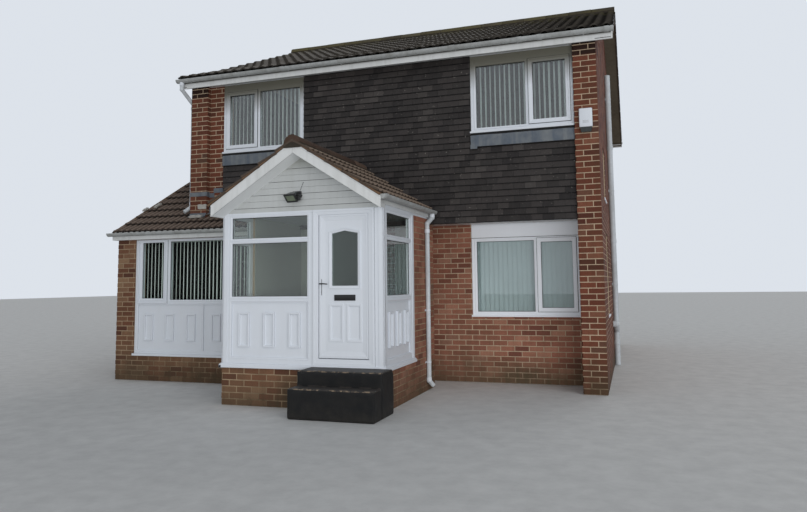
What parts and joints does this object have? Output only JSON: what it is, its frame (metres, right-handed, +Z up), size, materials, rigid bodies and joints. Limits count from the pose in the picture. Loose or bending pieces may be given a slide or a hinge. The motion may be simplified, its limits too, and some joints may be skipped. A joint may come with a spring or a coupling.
{
  "type": "detached house",
  "caption": "Two-storey brick detached house with a tile-hung front, a gabled glazed porch whose door opens, and a side extension.",
  "frame": {"origin": "middle of the main block's underside, at the lowest ground level", "axes": "+X to the right seen from the street, +Y from the front to the rear, +Z up"},
  "size_m": [8.46, 10.916, 7.129],
  "materials": {
    "brick": "matte",
    "extension_brick": "matte",
    "plaster": "matte",
    "concrete": "matte",
    "step_paint": "worn satin",
    "hung_tile": "matte",
    "roof_tile": "matte",
    "brown_roof_tile": "matte",
    "white_plastic": "satin",
    "gutter_plastic": "satin",
    "pane": "clear",
    "door_pane": "obscured",
    "lead": "dull",
    "black_fitting": "satin",
    "pale_box": "satin"
  },
  "bodies": {
    "house": {"ground_floor": "concrete", "first_floor": "plaster", "left_gable_wall": "brick", "right_gable_wall": "brick", "rear_wall": "brick", "front_wall_upper": "brick", "front_wall_ground": "brick", "hall_wall": "plaster", "tile_hanging": "hung_tile", "jetty_soffit": "white_plastic", "lead_flashings": "lead", "upper_front_windows": "white_plastic", "ground_front_window": "white_plastic", "side_windows": "white_plastic", "rear_windows": "white_plastic", "front_glass": "pane", "side_glass": "pane", "rear_glass": "pane", "hall_door": "white_plastic", "rear_door": "white_plastic", "front_roof_slope": "roof_tile", "rear_roof_slope": "roof_tile", "ridge_tiles": "roof_tile", "barge_boards": "white_plastic", "eaves_boards": "white_plastic", "gutters": "gutter_plastic", "downpipes": "white_plastic", "soil_pipe": "gutter_plastic", "alarm_box": "pale_box", "extension_floor": "concrete", "extension_front_wall": "extension_brick", "extension_side_wall": "extension_brick", "extension_rear_wall": "extension_brick", "extension_window": "white_plastic", "extension_glass": "pane", "extension_panels": "white_plastic", "extension_roof": "brown_roof_tile", "porch_floor": "concrete", "porch_plinth": "extension_brick", "porch_left_wall": "extension_brick", "porch_right_wall": "extension_brick", "porch_frame": "white_plastic", "porch_glass": "pane", "porch_panels": "white_plastic", "porch_gable_boards": "white_plastic", "porch_ceiling": "white_plastic", "porch_roof": "brown_roof_tile", "floodlight": "black_fitting", "upper_step": "step_paint", "lower_step": "step_paint"},
    "porch_door": {"door_leaf": "white_plastic", "door_glass": "door_pane", "door_furniture": "black_fitting"}
  },
  "joints": [
    {"name": "porch_door_hinge", "type": "hinge", "parent": "house", "child": "porch_door", "pos_m": [0.691, -5.882, 1.571], "axis": [0, 0, -1], "range_deg": [0, 90]}
  ]
}
